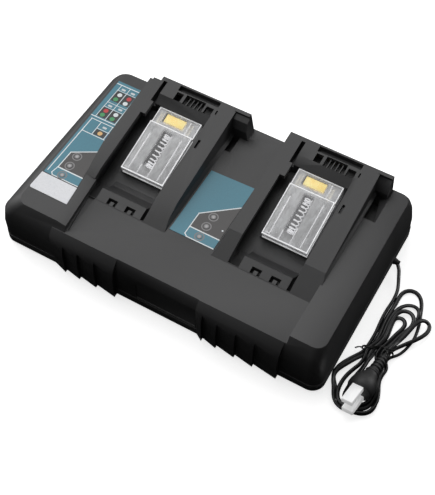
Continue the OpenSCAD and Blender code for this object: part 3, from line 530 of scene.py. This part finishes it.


# clear plastic, cloudier in places, clearer over the spring and the connector, with a faint painted glow from
# its emission
def clearPlastic(name, side):
    finish = Finish(name, Roughness=0.12, IOR=1.5, Emission_Strength=0.06, Emission_Color=(1.0, 1.0, 1.0))
    x, y, z = finish.axes()
    across = x - side * bay["x"]
    haze = finish.noise(160, 4, 0.65, (1.5, 0.6, 1))
    cloud = finish.noise(45, 3)
    overSpring = abs(across + 1).between(6.5, 4.0) * y.between(2, 6) * y.between(47, 43)
    overConnector = abs(across + 2.8).between(12.5, 10.5) * y.between(53, 55) * y.between(65.5, 64)
    clear = (overSpring * 0.75 | overConnector * 0.88).clip()
    finish.feed("Alpha", ((haze * 0.16 + cloud * 0.14 + 0.26) * (1 - clear)).clip())
    finish.mottled(haze, 0.35, 0.65, (0.72, 0.72, 0.73), (0.9, 0.91, 0.93))
    finish.bump(finish.noise(70, 2), 0.15, 0.0005)
    return finish.material


# white strips that paint the highlights on the edges and inner ridges of the clear plastic, glowing with
# emission
coverHighlight = Finish("coverHighlightStrips", Roughness=0.2, Emission_Strength=0.3, Emission_Color=(1.0, 1.0, 1.0))
# noise that breaks up the colour and alpha of the painted highlight strips
highlightBreakup = coverHighlight.noise(240, 3)
coverHighlight.mottled(highlightBreakup, 0.3, 0.7, (0.75, 0.76, 0.78), (0.98, 0.98, 1.0))
coverHighlight.feed("Alpha", (highlightBreakup * 0.5 + 0.6).clip())


# the low and high corners of the painted highlight strips on a cover's edges and inner ridges
def coverHighlightLines():
    half, front, step, rear = coverShape.values()
    return [((-half, front, -1.1), (half, front + 1.3, 0.12)),
            ((half - 1.1, front, -1.0), (half + 0.1, step, 0.12)),
            ((-half - 0.1, front, -1.0), (-half + 0.8, step, 0.12)),
            ((-half, step - 0.9, -1.2), (half, step + 0.1, 0.1)),
            ((half - 0.9, step, -3.9), (half + 0.1, rear, -2.9)),
            ((-half - 0.1, step, -3.9), (-half + 0.8, rear, -2.9)),
            ((-half, rear - 0.8, -4.2), (half, rear + 0.1, -2.9)),
            ((-half, front - 0.1, -9.6), (half, front + 1.0, -8.4)),
            ((-17.5, front + 3, -2.2), (-16.6, 38, -0.9)), ((14.6, front + 3, -2.2), (15.4, 44, -0.9)),
            ((-half + 1.5, front + 3.2, -2.2), (-16.8, front + 4, -0.9)),
            ((4.0, front + 2, -2.2), (4.7, 12, -0.9)), ((-7.4, front + 2, -2.2), (-6.7, 5, -0.9)),
            ((12.5, step + 1.5, -4.6), (13.2, rear - 2, -3.4)),
            ((half - 0.7, front + 0.4, -6.6), (half + 0.12, step, -5.8))]


# the centre line of a spring, with its turns closer at the ends
def springCoil(onBlock):
    steps = springShape["turns"] * springShape["perTurn"]
    coil = []
    for i in range(steps + 1):
        angle, share = 2 * math.pi * i / springShape["perTurn"], i / steps
        easing = share - math.sin(2 * math.pi * share) * springShape["closing"]
        place = (springShape["x"] + springShape["radius"] * math.cos(angle),
                 springShape["front"] + springShape["length"] * easing,
                 springShape["z"] + springShape["radius"] * math.sin(angle))
        coil.append(onBlock @ (Vector(place) * mm) / mm)
    return coil


for word, side in sides.items():
    onBlock = Matrix.Translation(Vector((side * bay["x"], 0, bay["z"])) * mm) @ Matrix.Rotation(tilt, 4, "X")
    rounded(word + "_terminal_cover", clearPlastic(word + "ClearPlastic", side), 0.35, 2)
    # white strips of painted highlight on each cover's edges and inner ridges
    edges = joined([block(word + "_edge", low, high, 0.2, 1, onBlock) for low, high in coverHighlightLines()],
                   word + "_cover_highlight_strips")
    fit(edges, coverHighlight.material, word + "_cover")
    rounded(word + "_terminal_holder", holderPlastic, 0.3, 2)
    rounded(word + "_signal_connector", connectorPlastic.material, 0.35, 2)
    spring = tubeAlong(word + "_spring", springCoil(onBlock), circle(springShape["wire"], 7))
    fit(spring, springWire, "base", [word + "_return_spring"])
    anchor = fromMiddle @ onBlock @ (Vector((springShape["x"], springShape["rear"], springShape["z"])) * mm)
    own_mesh(spring)
print("terminal blocks done")


# the distance on the label's plane from a point
def away(x, y, fromX, fromY):
    return ((x - fromX) * (x - fromX) + (y - fromY) * (y - fromY)).root()


# printed film: areas, dots and lines in millimetres over a base colour
class Film:
    def __init__(self, name, base, rough=0.35):
        self.finish = Finish(name, Coat_Roughness=0.25)
        self.x, self.y, self.z = self.finish.axes()
        speck = self.finish.noise(600, 2)
        self.colour = self.finish.mix(speck.between(0.2, 0.8), shade(base, 0.94), shade(base, 1.06))
        self.finish.feed("Roughness", speck * 0.12 + (rough - 0.06))
        self.finish.bump(self.finish.noise(300, 2), 0.06, 0.0002)

    def area(self, x0, x1, y0, y1):
        return (self.x > x0) & (self.x < x1) & (self.y > y0) & (self.y < y1)

    def dot(self, x, y, radius):
        return away(self.x, self.y, x, y) < radius

    def ring(self, x, y, inner, outer):
        far = away(self.x, self.y, x, y)
        return (far > inner) & (far < outer)

    # signed distance from the line through two points, positive on its left
    def beside(self, a, b):
        ux, uy = b[0] - a[0], b[1] - a[1]
        length = math.hypot(ux, uy)
        return (self.y - a[1]) * (ux / length) - (self.x - a[0]) * (uy / length)

    def stroke(self, a, b, width):
        ux, uy = b[0] - a[0], b[1] - a[1]
        length = math.hypot(ux, uy)
        along = (self.x - a[0]) * (ux / length) + (self.y - a[1]) * (uy / length)
        return (abs(self.beside(a, b)) < width / 2) & (along > -width / 2) & (along < length + width / 2)

    def print(self, mask, colour):
        self.colour = self.finish.mix(mask, self.colour, colour)

    def done(self):
        self.finish.feed("Base Color", self.colour)
        return self.finish.material


ink = {"teal": (0.055, 0.235, 0.32), "dark": (0.05, 0.046, 0.046), "white": (0.85, 0.9, 0.92),
       "black": (0.015, 0.015, 0.016), "green": (0.05, 0.36, 0.12), "red": (0.62, 0.03, 0.04),
       "orange": (0.85, 0.52, 0.2), "blue": (0.05, 0.17, 0.36), "ring": (0.22, 0.215, 0.22),
       "edge": (0.03, 0.06, 0.08)}
leftLights = ((-140.3, -21), (-140.3, -33.7), (-140.3, -46.3))
centreLights = ((6, -13.5), (5.5, -25.8), (5.4, -38.8))
ringRadii = (3.7, 4.9)

# left label: a table of light signs above the three lights
chart = Film("leftLabelFilm", ink["teal"])
chart.print(chart.area(-160, -157.9, -60, 90), ink["edge"])
for x0, x1, y0, y1 in ((-152.2, -142.4, 55.2, 69.2), (-141.4, -131.6, 55.2, 69.2), (-152.6, -142.8, 32, 44.8),
                       (-141.8, -131.4, 32, 44.8), (-143, -130.8, 10.2, 17.4)):
    chart.print(chart.area(x0, x1, y0, y1), ink["black"])
chart.print(chart.area(-129.6, -126, 10, 17.6), ink["blue"])
for x, y, colour in ((-147, 65.2, "white"), (-147.6, 58.6, "green"), (-136, 65.0, "red"),
                     (-136.2, 58.2, "white"), (-147.8, 41.2, "red"), (-148.2, 35.2, "green"),
                     (-136.4, 41.4, "white"), (-136.8, 35.2, "green"), (-137.0, 13.8, "orange")):
    chart.print(chart.dot(x, y, 2.5), ink[colour])
for x, y in ((-147.2, 72.8), (-136.4, 73), (-147.6, 48.4), (-136.2, 49), (-136.8, 21.9)):
    chart.print(chart.area(x - 2.2, x + 2.2, y - 1.2, y + 1.2), shade(ink["white"], 0.8))
for a, b, width in (((-157.4, 77.4), (-128, 77.6), 1.0), ((-153.2, 31), (-152.2, 77), 0.7),
                    ((-152.8, 70), (-131, 70), 0.6), ((-153, 52), (-129, 52), 0.6),
                    ((-153, 45.6), (-131, 45.6), 0.6), ((-142.3, 31), (-141.9, 77), 0.7),
                    ((-130.6, 31), (-130.9, 77), 0.7), ((-157.6, 30.2), (-127, 30.2), 1.0),
                    ((-155, 26.6), (-127, 26.6), 0.9), ((-154.6, 26.6), (-155.9, -47.4), 1.0),
                    ((-143.7, 9.4), (-143.7, 26.4), 0.8), ((-143.5, 18.3), (-127, 18.3), 0.7),
                    ((-130.2, 9.4), (-130.4, 26.4), 0.7), ((-154, 9.1), (-126.6, 9.1), 0.9)):
    chart.print(chart.stroke(a, b, width), ink["white"])
slant = chart.beside((-148.5, -19.2), (-124.7, -5.3))
chart.print((slant < 0) & (chart.x > -148.9) & (chart.y > -40) & (chart.y < -4), ink["dark"])
for a, b, width in (((-148.5, -19.2), (-124.0, -4.9), 1.1), ((-148.6, -19.2), (-149.3, -40), 1.0),
                    ((-149.3, -40.1), (-119, -40.1), 1.3), ((-149.3, -40), (-151, -48), 1.0),
                    ((-151, -48), (-149, -50.4), 1.0), ((-149, -50.5), (-118, -50.5), 1.0)):
    chart.print(chart.stroke(a, b, width), ink["white"])
for x, y in leftLights:
    chart.print(chart.ring(x, y, *ringRadii), ink["ring"])

# centre label: plain above, the same three lights below
board = Film("centreLabelFilm", ink["teal"])
slant = board.beside((-7.9, -16.2), (25, 9.8))
board.print((slant < 0) & (board.x > -7.9) & (board.y > -33.2), ink["dark"])
for a, b, width in (((-7.9, -16.2), (25, 9.8), 1.1), ((-7.9, -16.2), (-8.1, -42), 1.0),
                    ((-8, -33.2), (31, -33.2), 1.2), ((-8.1, -42), (-5, -44.3), 1.0),
                    ((-5, -44.4), (31, -44.4), 1.1)):
    board.print(board.stroke(a, b, width), ink["white"])
board.print((board.x > -8.0) & (board.y < -45), ink["dark"])
board.print(board.dot(20.9, -22.8, 0.9), ink["white"])
for x, y in centreLights:
    board.print(board.ring(x, y, *ringRadii), ink["ring"])


# gives a CAD node a material through its slots
def dress(node, material):
    for place in nodes[node].material_slots:
        place.material = material


dress("left_label", chart.done())
dress("centre_label", board.done())
sticker = Film("stickerFilm", (0.86, 0.87, 0.9), 0.3)
sticker.print(sticker.finish.noise(60, 3).between(0.5, 0.75) * 0.5, (0.72, 0.75, 0.82))
dress("blank_sticker", sticker.done())

# status lights, paler at their centres
lens = Finish("lensPlastic", Roughness=0.3)
lensX, lensY, lensZ = lens.axes()
core = None
for x, y in leftLights + centreLights:
    inner = away(lensX, lensY, x, y).between(2.3, 0.9)
    core = inner if core is None else core | inner
lens.feed("Base Color", lens.mix(core, (0.16, 0.16, 0.165), (0.45, 0.44, 0.45)))
lens.bump(lens.noise(900, 2), 0.1)
dress("left_status_lenses", lens.material)
dress("centre_status_lenses", lens.material)
print("labels printed")

# inside
boardGreen = moulded("boardGreen", (0.03, 0.16, 0.07), 0.35, 0.1, 500, 0.2)
fanPlastic = moulded("fanPlastic", (0.02, 0.02, 0.022), 0.5)
insidePaints = {
    "left_light_board": boardGreen, "centre_light_board": boardGreen, "main_board": boardGreen,
    "left_fan_frame": fanPlastic, "right_fan_frame": fanPlastic, "left_fan_rotor": fanPlastic,
    "right_fan_rotor": fanPlastic, "filter_capacitor": moulded("darkSleeve", (0.02, 0.02, 0.08), 0.25, 0.05),
    "output_capacitors": moulded("blackSleeve", (0.02, 0.02, 0.03), 0.25, 0.05),
    "line_choke": moulded("enamelledWinding", (0.3, 0.1, 0.03), 0.3, 0.5, 900),
    "left_heat_sink": metal("extrudedAluminium", (0.75, 0.76, 0.78), 0.4),
    "right_heat_sink": metal("extrudedAluminiumRight", (0.75, 0.76, 0.78), 0.4),
    "relays": moulded("relayBlue", (0.03, 0.09, 0.3), 0.3, 0.05),
    "buzzer": moulded("buzzerBlack", (0.015, 0.015, 0.015), 0.3),
    "board_screws": metal("zincScrew", (0.7, 0.7, 0.72), 0.3),
    "case_screws": metal("zincCaseScrew", (0.7, 0.7, 0.72), 0.3),
    "rubber_feet": moulded("footRubber", (0.02, 0.02, 0.02), 0.75, 0.4, 800),
    "cord_clamp": moulded("clampPlastic", (0.02, 0.02, 0.022), 0.45),
    "left_power_contacts": contactPlate, "right_power_contacts": contactPlate,
    "plug_blades": metal("bladeMetal", (0.75, 0.68, 0.5), 0.25),
    "transformer": moulded("windingTape", (0.75, 0.5, 0.08), 0.35, 0.3, 700),
    "fuse": moulded("fuseGlaze", (0.7, 0.7, 0.66), 0.25, 0.05),
}
for node, material in insidePaints.items():
    dress(node, material)
print("inside painted")
